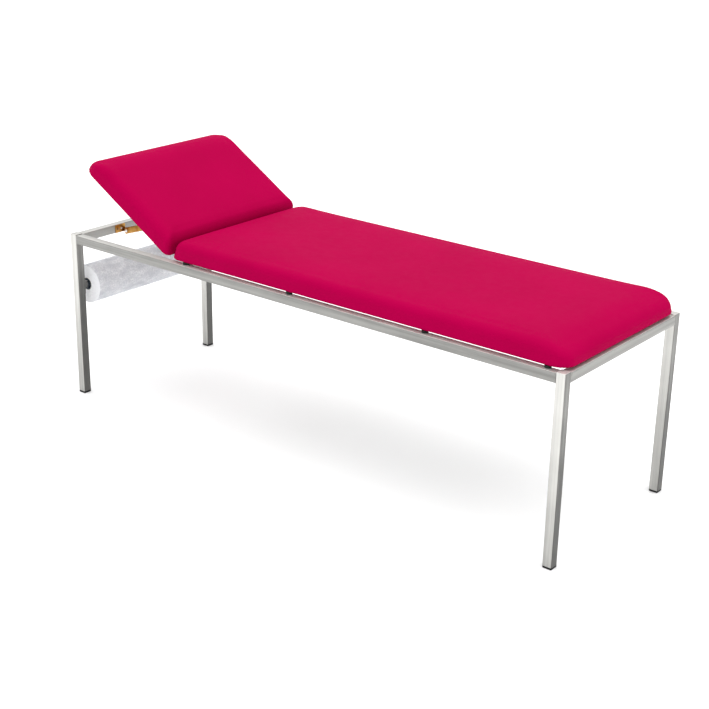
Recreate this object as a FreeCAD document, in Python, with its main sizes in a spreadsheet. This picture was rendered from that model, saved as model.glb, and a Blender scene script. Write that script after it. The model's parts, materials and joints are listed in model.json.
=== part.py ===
import FreeCAD, Part
import math
import os
import Sketcher
from FreeCAD import Placement, Rotation, Vector

# An examination couch: a square-tube frame on four legs, a fixed body pad, a head pad that
# tilts on two hinges and is held by two ratchet struts, and a paper roll between the head legs.
# X runs from the head end (-X) to the foot end (+X), Y across, Z up from the floor.
# The head section, the struts and their fittings are built flat or straight in a frame of
# their own and then placed at the rest pose, with the head section raised.

doc = FreeCAD.newDocument("examination_couch")
sizes = doc.addObject("Spreadsheet::Sheet", "sizes")

DIMENSIONS = {
    # frame
    "couch_length": 1950, "couch_width": 650, "frame_top": 582.5,
    "leg_side": 30, "leg_wall": 2, "leg_corner": 3,
    "rail_side": 30, "rail_wall": 2, "rail_corner": 3, "rail_drop": 2.5,
    "cap_thick": 3, "cap_round": 2, "foot_height": 7, "foot_round": 2,
    "plug_depth": 22, "plug_gap": 0.2, "cross_rail_from_head": 535,
    # pads
    "pad_bottom": 587, "pad_thick": 63, "pad_width": 632, "pad_end_gap": 3,
    "pad_corner": 50, "pad_top_round": 20, "pad_low_round": 6, "split_lean": 18, "split_gap": 1,
    "cover_thick": 1.5, "cover_turn": 35, "fit_gap": 0.3,
    "board_thick": 15, "board_inset": 7, "board_corner": 44, "cloth_thick": 1, "cloth_inset": 28,
    # buffers and their bolts
    "buffer_radius": 10, "bolt_line": 21, "buffer_first": 535, "buffer_second": 973, "buffer_third": 1480,
    "buffer_fourth": 1883, "bolt_radius": 3, "bolt_hole": 3.2, "bolt_head_radius": 6,
    "bolt_head_thick": 3.5,
    "rest_buffer_radius": 9, "rest_buffer_gap": 0.5, "rest_buffer_x": 435, "rest_buffer_y": 200,
    # head hinges
    "hinge_from_head": 455, "hinge_level": 583, "head_angle": 31, "hinge_y": 205,
    "knuckle_radius": 4, "knuckle_length": 20, "knuckle_gap": 0.4, "hinge_pin_radius": 2,
    "pin_clearance": 0.06, "leaf_length": 30, "leaf_thick": 2, "leaf_clear": 5,
    "leaf_screw_radius": 2, "leaf_screw_head": 3.6, "leaf_screw_head_thick": 1.6,
    # ratchet struts
    "strut_y": 107, "strut_pivot_in": 47, "strut_pivot_level": 556, "strut_reach": 150,
    "strut_drop": 18, "strut_pin_radius": 4, "channel_inner": 7, "channel_wall": 2,
    "channel_low": 12, "channel_high": 10, "channel_length": 185, "channel_nose": 9,
    "ear_start": 138, "ear_end": 180, "ear_high": 20, "bar_thick": 6, "bar_low": 9.5,
    "bar_high": 6, "bar_tail": 190, "bar_tip": 11, "notch_first": 84, "notch_pitch": 9,
    "notch_count": 7, "notch_depth": 4, "pawl_pivot": 148, "pawl_level": 12.5,
    "pawl_boss": 4.5, "pawl_reach": 24, "pawl_pin_radius": 2, "pawl_clear": 0.5,
    "plate_width": 44, "plate_thick": 3, "plate_high": 28, "plate_hole": 3, "tongue_thick": 5,
    "cheek_gap": 10, "cheek_thick": 2.5, "cheek_length": 46, "cheek_drop": 33,
    "slot_half_length": 7.5, "slot_slack": 1.4, "foot_plate_width": 50, "foot_plate_thick": 2.5,
    # paper roll and its holder
    "roll_level": 393, "roll_radius": 67, "roll_length": 500, "roll_start": 20,
    "core_radius": 23, "core_wall": 2, "rod_radius": 6, "rod_end_gap": 5,
    "cradle_depth": 14, "cradle_wall": 3, "cradle_slack": 0.4, "cradle_lip": 16, "holder_plate": 2.5,
    "holder_width": 24, "holder_high": 56, "holder_screw_spacing": 40,
    "plug_length": 20, "plug_recess": 12, "plug_rim": 2.5, "plug_hub": 9,
    "plug_rib": 5,
}

for row, (alias, value) in enumerate(DIMENSIONS.items(), start=1):
    sizes.set("A%d" % row, alias)
    sizes.set("B%d" % row, str(value))
    sizes.setAlias("B%d" % row, alias)
doc.recompute()


def size(alias):
    return float(sizes.get(alias))


def along(distance):
    """X of a place given by its distance from the frame's head end.

    The origin is midway between the foot end and the paper roll, which overhangs the head end.
    """
    overhang = size("roll_radius") - size("leg_side") / 2
    return distance - (size("couch_length") - overhang) / 2


SUBPARTS = []
UPRIGHT = Rotation()
TURN_TO_X = Rotation(Vector(0, 1, 0), 90)
TURN_TO_Y = Rotation(Vector(1, 0, 0), -90)


def keep(obj, label, placement=None):
    """Name a finished sub-part and, unless it already stands in its place, put it there."""
    obj.Label = label
    if placement is not None:
        obj.Placement = placement
    SUBPARTS.append(obj)


# ---------------------------------------------------------------- sketch and feature helpers

def origin_plane(body, role):
    return next(f for f in body.Origin.OriginFeatures if f.Role == role)


def sketch_on(body, role, name):
    sketch = body.newObject("Sketcher::SketchObject", name)
    sketch.AttachmentSupport = [(origin_plane(body, role), "")]
    sketch.MapMode = "FlatFace"
    return sketch


def add_centred_rectangle(sketch, width, height, tag):
    """A rectangle about the sketch's origin, its width and height bound to expressions."""
    first = sketch.GeometryCount
    corners = [Vector(-5, -5, 0), Vector(5, -5, 0), Vector(5, 5, 0), Vector(-5, 5, 0)]
    for i in range(4):
        sketch.addGeometry(Part.LineSegment(corners[i], corners[(i + 1) % 4]), False)
    for i in range(4):
        sketch.addConstraint(Sketcher.Constraint("Coincident", first + i, 2, first + (i + 1) % 4, 1))
    for i in (0, 2):
        sketch.addConstraint(Sketcher.Constraint("Horizontal", first + i))
        sketch.addConstraint(Sketcher.Constraint("Vertical", first + i + 1))
    sketch.addConstraint(Sketcher.Constraint("Symmetric", first, 1, first + 2, 1, -1, 1))
    for kind, edge, expression in (("DistanceX", first, width), ("DistanceY", first + 1, height)):
        index = sketch.addConstraint(Sketcher.Constraint(kind, edge, 1, edge, 2, 10))
        name = "%s_%s" % (tag, kind)
        sketch.renameConstraint(index, name)
        sketch.setExpression("Constraints." + name, expression)


def pad_of(body, sketch, length, name, midplane=False):
    pad = body.newObject("PartDesign::Pad", name)
    pad.Profile = sketch
    pad.Midplane = midplane
    pad.setExpression("Length", length)
    sketch.Visibility = False
    doc.recompute()
    return pad


def edges_where(feature, test):
    """Names of the feature's edges whose two ends and middle all pass the test."""
    names = []
    for number, edge in enumerate(feature.Shape.Edges, start=1):
        middle = edge.valueAt((edge.FirstParameter + edge.LastParameter) / 2)
        points = [vertex.Point for vertex in edge.Vertexes] + [middle]
        if all(test(point) for point in points):
            names.append("Edge%d" % number)
    return names


def round_edges(body, feature, test, radius, name):
    fillet = body.newObject("PartDesign::Fillet", name)
    fillet.Base = (feature, edges_where(feature, test))
    fillet.setExpression("Radius", radius)
    doc.recompute()
    return fillet


def box(name, length, width, height, x, y, z):
    """A Part::Box whose sides and corner are numbers or expressions."""
    block = doc.addObject("Part::Box", name)
    bind(block, {"Length": length, "Width": width, "Height": height})
    bind(block, {"Placement.Base.x": x, "Placement.Base.y": y, "Placement.Base.z": z})
    return block


def bar_along(axis, name, radius, length, x, y, z):
    """A Part::Cylinder along X, Y or Z that starts at x, y, z."""
    cylinder = doc.addObject("Part::Cylinder", name)
    turn = {"X": TURN_TO_X, "Y": TURN_TO_Y, "Z": UPRIGHT}[axis]
    cylinder.Placement = Placement(Vector(), turn)
    bind(cylinder, {"Radius": radius, "Height": length})
    bind(cylinder, {"Placement.Base.x": x, "Placement.Base.y": y, "Placement.Base.z": z})
    return cylinder


def bind(obj, values):
    for name, value in values.items():
        obj.setExpression(name, str(value))


def cut(name, base, *tools):
    for number, tool in enumerate(tools):
        step = doc.addObject("Part::Cut", "%s_cut_%d" % (name, number))
        step.Base = base
        step.Tool = tool
        base = step
    return base


def fuse(name, *pieces):
    joined = doc.addObject("Part::MultiFuse", name)
    joined.Shapes = list(pieces)
    joined.Refine = True
    return joined


def group(name, pieces):
    together = doc.addObject("Part::Compound", name)
    together.Links = list(pieces)
    return together


# ---------------------------------------------------------------- frame

def square_tube(label, side, wall, corner, length, placement):
    """A hollow square tube that grows along its own Z, with rounded outer corners."""
    body = doc.addObject("PartDesign::Body", label + "_body")
    sketch = sketch_on(body, "XY_Plane", label + "_section")
    add_centred_rectangle(sketch, side, side, "outer")
    add_centred_rectangle(sketch, "%s - 2 * %s" % (side, wall), "%s - 2 * %s" % (side, wall), "inner")
    tube = pad_of(body, sketch, length, label + "_tube")
    half = tube.Shape.BoundBox.XMax
    on_corner = lambda p: abs(p.x) > half - 0.01 and abs(p.y) > half - 0.01
    round_edges(body, tube, on_corner, corner, label + "_corners")
    keep(body, label, placement)


def leg_positions():
    head = along(size("leg_side") / 2)
    foot_end = along(size("couch_length") - size("leg_side") / 2)
    y = size("couch_width") / 2 - size("leg_side") / 2
    return {"head_left": (head, -y), "head_right": (head, y),
            "foot_left": (foot_end, -y), "foot_right": (foot_end, y)}


def leg(name, x, y):
    height = "sizes.frame_top - sizes.cap_thick - sizes.foot_height"
    placement = Placement(Vector(x, y, size("foot_height")), UPRIGHT)
    square_tube(name + "_leg", "sizes.leg_side", "sizes.leg_wall", "sizes.leg_corner", height, placement)


def leg_cap(name, x, y):
    """A welded cap plate with a softly rounded top."""
    body = doc.addObject("PartDesign::Body", name + "_cap_body")
    sketch = sketch_on(body, "XY_Plane", name + "_cap_outline")
    add_centred_rectangle(sketch, "sizes.leg_side", "sizes.leg_side", "cap")
    plate = pad_of(body, sketch, "sizes.cap_thick", name + "_cap_plate")
    half = plate.Shape.BoundBox.XMax
    upright = lambda p: abs(p.x) > half - 0.01 and abs(p.y) > half - 0.01
    corners = round_edges(body, plate, upright, "sizes.leg_corner", name + "_cap_corners")
    top = corners.Shape.BoundBox.ZMax
    round_edges(body, corners, lambda p: p.z > top - 0.01, "sizes.cap_round", name + "_cap_crown")
    placement = Placement(Vector(x, y, size("frame_top") - size("cap_thick")), UPRIGHT)
    keep(body, name + "_leg_cap", placement)


def foot(name, x, y):
    """A plastic insert: a plug inside the leg tube on a rounded sole."""
    body = doc.addObject("PartDesign::Body", name + "_foot_body")
    sole_sketch = sketch_on(body, "XY_Plane", name + "_sole_outline")
    add_centred_rectangle(sole_sketch, "sizes.leg_side", "sizes.leg_side", "sole")
    sole = pad_of(body, sole_sketch, "sizes.foot_height", name + "_sole")
    half = sole.Shape.BoundBox.XMax
    upright = lambda p: abs(p.x) > half - 0.01 and abs(p.y) > half - 0.01
    sides = round_edges(body, sole, upright, "sizes.leg_corner", name + "_sole_sides")
    round_edges(body, sides, lambda p: p.z < 0.01, "sizes.foot_round", name + "_sole_rim")
    plug_sketch = sketch_on(body, "XY_Plane", name + "_plug_outline")
    inside = "sizes.leg_side - 2 * sizes.leg_wall - 2 * sizes.plug_gap"
    add_centred_rectangle(plug_sketch, inside, inside, "plug")
    pad_of(body, plug_sketch, "sizes.foot_height + sizes.plug_depth", name + "_plug")
    keep(body, name + "_foot", Placement(Vector(x, y, 0), UPRIGHT))


def rail_level():
    return size("frame_top") - size("rail_drop") - size("rail_side") / 2


def end_rail(label, x):
    length = "sizes.couch_width - 2 * sizes.leg_side"
    start = Vector(x, -(size("couch_width") / 2 - size("leg_side")), rail_level())
    square_tube(label, "sizes.rail_side", "sizes.rail_wall", "sizes.rail_corner", length,
                Placement(start, TURN_TO_Y))


def buffer_stations():
    """X of each buffer and bolt along a side rail."""
    return [along(size(name)) for name in ("buffer_first", "buffer_second", "buffer_third", "buffer_fourth")]


def bolt_row(side):
    """Y of the row of buffers and bolts on one side rail, a little inside the rail's middle."""
    return side * (size("couch_width") / 2 - size("bolt_line"))


def side_rail(label, side):
    """A side rail between two legs, drilled through for the pad bolts."""
    name = label + "_drilled"
    length = "sizes.couch_length - 2 * sizes.leg_side"
    body = doc.addObject("PartDesign::Body", label + "_body")
    sketch = sketch_on(body, "YZ_Plane", label + "_section")
    inner = "sizes.rail_side - 2 * sizes.rail_wall"
    add_centred_rectangle(sketch, "sizes.rail_side", "sizes.rail_side", "outer")
    add_centred_rectangle(sketch, inner, inner, "inner")
    tube = pad_of(body, sketch, length, label + "_tube", midplane=True)
    half = tube.Shape.BoundBox.ZMax
    on_corner = lambda p: abs(p.y) > half - 0.01 and abs(p.z) > half - 0.01
    round_edges(body, tube, on_corner, "sizes.rail_corner", label + "_corners")
    middle = along(size("couch_length") / 2)
    y = side * (size("couch_width") / 2 - size("leg_side") / 2)
    drills = [bar_along("Z", "%s_hole_%d" % (label, i), "sizes.bolt_hole", "2 * sizes.rail_side",
                        x - middle, bolt_row(side) - y, "-sizes.rail_side")
              for i, x in enumerate(buffer_stations())]
    rail = cut(name, body, *drills)
    keep(rail, label, Placement(Vector(middle, y, rail_level()), UPRIGHT))


def cross_rail():
    inset = size("leg_side") / 2 + size("rail_side") / 2
    length = "sizes.couch_width - sizes.leg_side - sizes.rail_side"
    start = Vector(along(size("cross_rail_from_head")), inset - size("couch_width") / 2, rail_level())
    square_tube("cross_rail", "sizes.rail_side", "sizes.rail_wall", "sizes.rail_corner", length,
                Placement(start, TURN_TO_Y))


def build_frame():
    for name, (x, y) in leg_positions().items():
        leg(name, x, y)
        leg_cap(name, x, y)
        foot(name, x, y)
    side_rail("left_side_rail", -1)
    side_rail("right_side_rail", 1)
    end_rail("head_end_rail", along(size("leg_side") / 2))
    end_rail("foot_end_rail", along(size("couch_length") - size("leg_side") / 2))
    cross_rail()


# ---------------------------------------------------------------- pads
# Each pad is built lying flat with the hinge axis as its origin: away is +1 for the body pad,
# which lies on +X of the axis, and -1 for the head pad.

def pad_block(name, away, far, inset, low, rounds_below):
    """A pad-shaped solid: flat sides, a leaning end face beside the hinge, rounded edges."""
    top = size("pad_bottom") + size("pad_thick") - size("hinge_level") - inset
    lean = math.tan(math.radians(size("split_lean")))
    reach = size("split_gap") + inset
    section = [(reach + low * lean, low), (far - inset, low), (far - inset, top), (reach + top * lean, top)]
    corners = [Vector(away * x, z, 0) for x, z in section]
    body = doc.addObject("PartDesign::Body", name + "_body")
    sketch = sketch_on(body, "XZ_Plane", name + "_profile")
    for i in range(4):
        sketch.addGeometry(Part.LineSegment(corners[i], corners[(i + 1) % 4]), False)
    for i in range(4):
        sketch.addConstraint(Sketcher.Constraint("Coincident", i, 2, (i + 1) % 4, 1))
    block = pad_of(body, sketch, "sizes.pad_width - %g" % (2 * inset), name + "_block", midplane=True)
    half = block.Shape.BoundBox.YMax
    bounds = block.Shape.BoundBox
    at_end = lambda p: abs(p.y) > half - 0.01
    corner = "sizes.pad_corner - %g" % inset
    upright = [e for e in edges_where(block, at_end) if rises(block, e)]
    fillet = body.newObject("PartDesign::Fillet", name + "_corners")
    fillet.Base = (block, upright)
    fillet.setExpression("Radius", corner)
    doc.recompute()
    crown = round_edges(body, fillet, lambda p: p.z > bounds.ZMax - 0.01,
                        "sizes.pad_top_round - %g" % inset, name + "_crown")
    if rounds_below:
        round_edges(body, crown, lambda p: p.z < bounds.ZMin + 0.01,
                    "sizes.pad_low_round - %g" % inset, name + "_base")
    return body


def rises(feature, edge_name):
    edge = getattr(feature.Shape, edge_name)
    return abs(edge.Vertexes[0].Point.z - edge.Vertexes[1].Point.z) > 1


def rounded_sheet(name, near, far, half_width, corner, low, thick):
    """A flat sheet with rounded corners, from near to far along X."""
    body = doc.addObject("PartDesign::Body", name + "_body")
    sketch = sketch_on(body, "XY_Plane", name + "_outline")
    add_centred_rectangle(sketch, "%g" % abs(far - near), "%g" % (2 * half_width), "sheet")
    sheet = pad_of(body, sketch, "%g" % thick, name + "_sheet")
    bounds = sheet.Shape.BoundBox
    upright = lambda p: abs(p.x) > bounds.XMax - 0.01 and abs(p.y) > bounds.YMax - 0.01
    round_edges(body, sheet, upright, "%g" % corner, name + "_corners")
    body.Placement = Placement(Vector((near + far) / 2, 0, low), UPRIGHT)
    return body


def pad(name, away, far, placement):
    """Board, foam, cover and underside cloth of one pad, from the hinge axis to far."""
    thick = size("cover_thick")
    gap = size("fit_gap")
    low = size("pad_bottom") - size("hinge_level")
    outer = pad_block(name + "_outer", away, far, 0, low, True)
    inner = pad_block(name + "_inner", away, far, thick, low + thick, True)
    turn = size("cover_turn")
    half = size("pad_width") / 2 - turn
    window = rounded_sheet(name + "_window", away * (turn + low), away * (far - turn), half,
                           size("board_corner") - turn + size("board_inset"), low - 1, thick + 2)
    keep(cut(name + "_cover", outer, inner, window), name + "_cover", placement)

    board_low = low + thick
    inset = size("board_inset")
    board = rounded_sheet(name + "_board", away * (inset + low), away * (far - inset),
                          size("pad_width") / 2 - inset, size("board_corner"), board_low,
                          size("board_thick"))
    keep_at(board, name + "_board", placement)

    foam_low = board_low + size("board_thick")
    foam = pad_block(name + "_foam", away, far, thick + gap, foam_low, False)
    keep(foam, name + "_foam", placement)

    cloth_thick = size("cloth_thick")
    edge = size("cloth_inset")
    cloth = rounded_sheet(name + "_cloth", away * (edge + low), away * (far - edge),
                          size("pad_width") / 2 - edge, size("board_corner") - edge + inset,
                          low - cloth_thick, cloth_thick)
    keep_at(cloth, name + "_underside_cloth", placement)


def keep_at(obj, label, placement):
    """Keep a sub-part whose own placement is measured from the placement given."""
    keep(obj, label, placement.multiply(obj.Placement))


def hinge_point():
    return Vector(along(size("hinge_from_head")), 0, size("hinge_level"))


def head_placement():
    return Placement(hinge_point(), Rotation(Vector(0, 1, 0), size("head_angle")))


def body_placement():
    return Placement(hinge_point(), UPRIGHT)


def build_pads():
    head_far = size("hinge_from_head") - size("pad_end_gap")
    body_far = size("couch_length") - size("hinge_from_head") - size("pad_end_gap")
    pad("body_pad", 1, body_far, body_placement())
    pad("head_pad", -1, head_far, head_placement())


# ---------------------------------------------------------------- buffers and pad bolts

def rubber_buffer(name, radius, height, x, y, z):
    """A rubber block with a hole for its bolt."""
    block = bar_along("Z", name, radius, height, x, y, z)
    hole = bar_along("Z", name + "_hole", "sizes.bolt_hole", height, x, y, z)
    return cut(name, block, hole)


def build_buffers():
    """Four rubber buffers on each side rail, each held by the bolt that holds the body pad."""
    rail_top = size("frame_top") - size("rail_drop")
    under = rail_top - size("rail_side")
    height = "%g" % (size("pad_bottom") - rail_top)
    bolts = []
    for side, name in ((-1, "left"), (1, "right")):
        y = bolt_row(side)
        buffers = []
        for i, x in enumerate(buffer_stations()):
            tag = "%s_%d" % (name, i)
            buffers.append(rubber_buffer("buffer_" + tag, "sizes.buffer_radius", height, x, y, rail_top))
            bolts.append(pad_bolt("pad_bolt_" + tag, x, y, under))
        keep(group(name + "_buffers_group", buffers), name + "_buffers")
    keep(group("pad_bolts_group", bolts), "pad_bolts")


def pad_bolt(name, x, y, under):
    """A button-headed bolt up through the rail and buffer, ending under the board."""
    shank = bar_along("Z", name + "_shank", "sizes.bolt_radius", "sizes.pad_bottom - %g" % under, x, y, under)
    head = bar_along("Z", name + "_head", "sizes.bolt_head_radius", "sizes.bolt_head_thick",
                     x, y, "%g - sizes.bolt_head_thick" % under)
    return fuse(name, shank, head)


def build_rest_buffers():
    """Two buffers under the head board that land on the head end rail when it is flat."""
    pad_low = size("pad_bottom") - size("hinge_level")
    rail_top = size("frame_top") - size("rail_drop") - size("hinge_level")
    low = rail_top + size("rest_buffer_gap")
    pieces = [bar_along("Z", "rest_buffer_%d" % side, "sizes.rest_buffer_radius", pad_low - low,
                        "-sizes.rest_buffer_x", side * size("rest_buffer_y"), low) for side in (-1, 1)]
    keep(group("rest_buffers_group", pieces), "head_rest_buffers", head_placement())


# ---------------------------------------------------------------- head hinges

def leaf(name, away, slots, centre):
    """A hinge leaf with knuckles at the given slots, a flat leaf and two countersunk holes."""
    step = size("knuckle_length")
    level = size("knuckle_radius")
    thick = size("leaf_thick")
    far = size("leaf_length")
    pieces = []
    for slot in slots:
        length = step - size("knuckle_gap")
        start = centre + slot * step - length / 2
        barrel = bar_along("Y", "%s_knuckle_%d" % (name, slot), "sizes.knuckle_radius", length, 0, start, 0)
        low_x = 0 if away > 0 else -size("leaf_clear") - 1
        tab = box("%s_tab_%d" % (name, slot), size("leaf_clear") + 1, length, thick, low_x, start,
                  level - thick)
        pieces += [barrel, tab]
    low_x = size("leaf_clear") if away > 0 else -far
    pieces.append(box(name + "_flat", far - size("leaf_clear"), 3 * step, thick, low_x,
                      centre - 1.5 * step, level - thick))
    joined = fuse(name + "_joined", *pieces)
    bore = bar_along("Y", name + "_bore", "sizes.hinge_pin_radius + sizes.pin_clearance",
                     4 * step, 0, centre - 2 * step, 0)
    holes = [bar_along("Z", "%s_hole_%d" % (name, i), "sizes.leaf_screw_radius", 4 * thick,
                       away * far * 0.62, centre + i * step, level - 2 * thick) for i in (-1, 1)]
    return cut(name, joined, bore, *holes)


def pan_screw(name, axis, x, y, z, out):
    """A pan-head screw seated at x, y, z, its head on the plus side of the seat if out is positive."""
    shank_length = size("leaf_thick")
    head_thick = size("leaf_screw_head_thick")
    along = {"X": Vector(1, 0, 0), "Y": Vector(0, 1, 0), "Z": Vector(0, 0, 1)}[axis]
    seat = Vector(x, y, z)
    shank_start = seat - along * shank_length if out > 0 else seat
    head_start = seat if out > 0 else seat - along * head_thick
    shank = bar_along(axis, name + "_shank", "sizes.leaf_screw_radius", shank_length, *shank_start)
    head = bar_along(axis, name + "_head", "sizes.leaf_screw_head", head_thick, *head_start)
    return fuse(name, shank, head)


def leaf_screws(name, away, offset):
    """The screws of both hinges' leaves on one side, measured from offset."""
    level = size("knuckle_radius") - size("leaf_thick")
    x = away * size("leaf_length") * 0.62
    screws = []
    for side in (-1, 1):
        for i in (-1, 1):
            y = side * size("hinge_y") + i * size("knuckle_length")
            place = Vector(x, y, level) + offset
            screws.append(pan_screw("%s_%d_%d" % (name, side, i), "Z", *place, -1))
    return screws


def bracket_screws():
    """The screws that hold both struts' pad brackets to the head board."""
    level = size("pad_bottom") - size("cloth_thick") - size("hinge_level") - size("foot_plate_thick")
    spread = size("foot_plate_width") * 0.36
    return [pan_screw("bracket_screw_%d_%d" % (out, i), "Z", -size("strut_reach"),
                      out * size("strut_y") + i * spread, level, -1) for out in (-1, 1) for i in (-1, 1)]


def plate_screws():
    """One screw through each strut's rail plate into the head end rail."""
    seat = along(size("leg_side") / 2 + size("rail_side") / 2 + size("plate_thick"))
    return [pan_screw("plate_screw_%d" % out, "X", seat, out * (size("strut_y") + screw_offsets()[0]),
                      rail_level(), 1) for out in (-1, 1)]


def holder_screws():
    """Two screws through each paper roll holder into its leg."""
    axis_x = along(size("leg_side") / 2)
    face = size("couch_width") / 2 - size("leg_side") - size("holder_plate")
    half = size("holder_screw_spacing") / 2
    return [pan_screw("holder_screw_%d_%d" % (side, i), "Y", axis_x, side * face,
                      size("roll_level") + i * half, -side) for side in (-1, 1) for i in (-1, 1)]


def build_screws():
    """Identical pan-head screws: one group in the frame and body board, one in the head board."""
    fixed = leaf_screws("fixed_leaf_screw", 1, hinge_point()) + plate_screws() + holder_screws()
    moving = leaf_screws("moving_leaf_screw", -1, Vector()) + bracket_screws()
    keep(group("frame_screws_group", fixed), "frame_screws")
    keep(group("head_board_screws_group", moving), "head_board_screws", head_placement())


def build_hinges():
    centres = (-size("hinge_y"), size("hinge_y"))
    for side, centre in zip(("left", "right"), centres):
        keep(leaf(side + "_fixed_leaf", 1, (-1, 1), centre), side + "_hinge_fixed_leaf", body_placement())
        keep(leaf(side + "_moving_leaf", -1, (0,), centre), side + "_hinge_moving_leaf", head_placement())
        length = 3 * size("knuckle_length")
        axis = hinge_point()
        pin = bar_along("Y", side + "_hinge_pin_rod", "sizes.hinge_pin_radius", length, axis.x,
                        centre - length / 2, axis.z)
        keep(pin, side + "_hinge_pin")


# ---------------------------------------------------------------- ratchet struts
# A strut is built straight along +X from its lower pivot, with its middle plane at Y = 0.

def strut_line():
    """Lower pivot, rest length and rest angle of a strut."""
    low = Vector(along(size("strut_pivot_in")), 0, size("strut_pivot_level"))
    high = head_placement().multVec(Vector(-size("strut_reach"), 0, -size("strut_drop")))
    run = high - low
    return low, run.Length, math.degrees(math.atan2(run.z, run.x))


def strut_placement(y):
    low, _, angle = strut_line()
    return Placement(Vector(low.x, y, low.z), Rotation(Vector(0, 1, 0), -angle))


def flat_plate(name, points, thick, low_y):
    """A plate with a straight-sided outline in XZ, as thick as given, from low_y upward."""
    outline = Part.makePolygon([Vector(x, low_y, z) for x, z in points + points[:1]])
    plate = doc.addObject("Part::Feature", name)
    plate.Shape = Part.Face(outline).extrude(Vector(0, thick, 0))
    return plate


def strut_channel(name):
    """A folded channel, open above, with raised ears for the pawl and a pivot hole below."""
    half = size("channel_inner") / 2
    wall = size("channel_wall")
    low = -size("channel_low")
    high = size("channel_high")
    nose = -size("channel_nose")
    end = size("channel_length")
    ears = (size("ear_start"), size("ear_end"), size("ear_high"))
    outline = [(nose, low), (end, low), (end, high), (ears[1], high), (ears[1] - 4, ears[2]),
               (ears[0] + 4, ears[2]), (ears[0], high), (nose, high)]
    sides = [flat_plate("%s_side_%d" % (name, i), outline, wall, y)
             for i, y in enumerate((-half - wall, half))]
    floor_start = size("strut_pin_radius") + 8
    floor = box(name + "_floor", end - floor_start, 2 * half, wall, floor_start, -half, low)
    pivot = bar_along("Y", name + "_pivot_hole", "sizes.strut_pin_radius + sizes.pin_clearance",
                      8 * half, 0, -4 * half, 0)
    pawl_hole = bar_along("Y", name + "_pawl_hole", "sizes.pawl_pin_radius + sizes.pin_clearance",
                          8 * half, "sizes.pawl_pivot", -4 * half, "sizes.pawl_level")
    return cut(name, fuse(name + "_folded", floor, *sides), pivot, pawl_hole)


def strut_bar(name, length):
    """A flat bar with ratchet notches in its upper edge and an eye at its upper end."""
    high = size("bar_high")
    low = -size("bar_low")
    deep = high - size("notch_depth")
    pitch = size("notch_pitch")
    points = [(length - size("bar_tail"), low), (length + size("bar_tip"), low),
              (length + size("bar_tip"), high)]
    for i in range(int(size("notch_count"))):
        x = length - size("notch_first") - i * pitch
        points += [(x, high), (x, deep), (x - 0.6 * pitch, high)]
    points.append((length - size("bar_tail"), high))
    blank = flat_plate(name + "_blank", points, size("bar_thick"), -size("bar_thick") / 2)
    eye = bar_along("Y", name + "_eye", "sizes.strut_pin_radius + sizes.pin_clearance",
                    4 * size("bar_thick"), length, -2 * size("bar_thick"), 0)
    return cut(name, blank, eye)


def pawl(name):
    """A sprung pawl whose nose rides just over the bar's notched edge."""
    x = size("pawl_pivot")
    z = size("pawl_level")
    boss = size("pawl_boss")
    nose = size("bar_high") + size("pawl_clear")
    tip = x + size("pawl_reach")
    thick = size("bar_thick") - 1
    arm = flat_plate(name + "_arm", [(x, z - boss), (tip - 4, nose), (tip, nose), (tip, nose + 5),
                                     (x, z + boss)], thick, -thick / 2)
    hub = bar_along("Y", name + "_hub", "sizes.pawl_boss", thick, x, -thick / 2, z)
    hole = bar_along("Y", name + "_hole", "sizes.pawl_pin_radius + sizes.pin_clearance",
                     4 * thick, x, -2 * thick, z)
    return cut(name, fuse(name + "_shape", arm, hub), hole)


def cross_pin(name, radius, half_length, x, z):
    """A pin across the strut with a flat rivet head on each end."""
    shank = bar_along("Y", name + "_shank", radius, 2 * half_length, x, -half_length, z)
    heads = [bar_along("Y", "%s_head_%d" % (name, i), "1.5 * %s" % radius, 1.5, x, y, z)
             for i, y in enumerate((-half_length - 1.5, half_length))]
    return fuse(name, shank, *heads)


def rail_bracket(name, out):
    """A plate on the end rail's inner face, with a tongue between the channel's sides."""
    face = size("leg_side") / 2 + size("rail_side") / 2
    back = face - size("strut_pivot_in")
    thick = size("plate_thick")
    wide = size("plate_width")
    high = size("plate_high")
    low = size("rail_side") / 2 - high / 2 + rail_level() - size("rail_side") / 2 - size("strut_pivot_level")
    plate_y = -size("tongue_thick") / 2 if out > 0 else size("tongue_thick") / 2 - wide
    plate = box(name + "_plate", thick, wide, high, back, plate_y, low)
    tongue = box(name + "_tongue", -back + 7, "sizes.tongue_thick", 14, back, "-sizes.tongue_thick / 2", -7)
    pivot = bar_along("Y", name + "_pivot", "sizes.strut_pin_radius + sizes.pin_clearance", 40, 0, -20, 0)
    holes = [bar_along("X", "%s_hole_%d" % (name, i), "sizes.plate_hole", 4 * thick, back - thick,
                       out * y, low + high / 2) for i, y in enumerate(screw_offsets())]
    return cut(name, fuse(name + "_shape", plate, tongue), pivot, *holes)


def screw_offsets():
    """How far out from the strut's middle the two holes of its rail plate are."""
    return (size("plate_width") * 0.36, size("plate_width") * 0.78)


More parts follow.
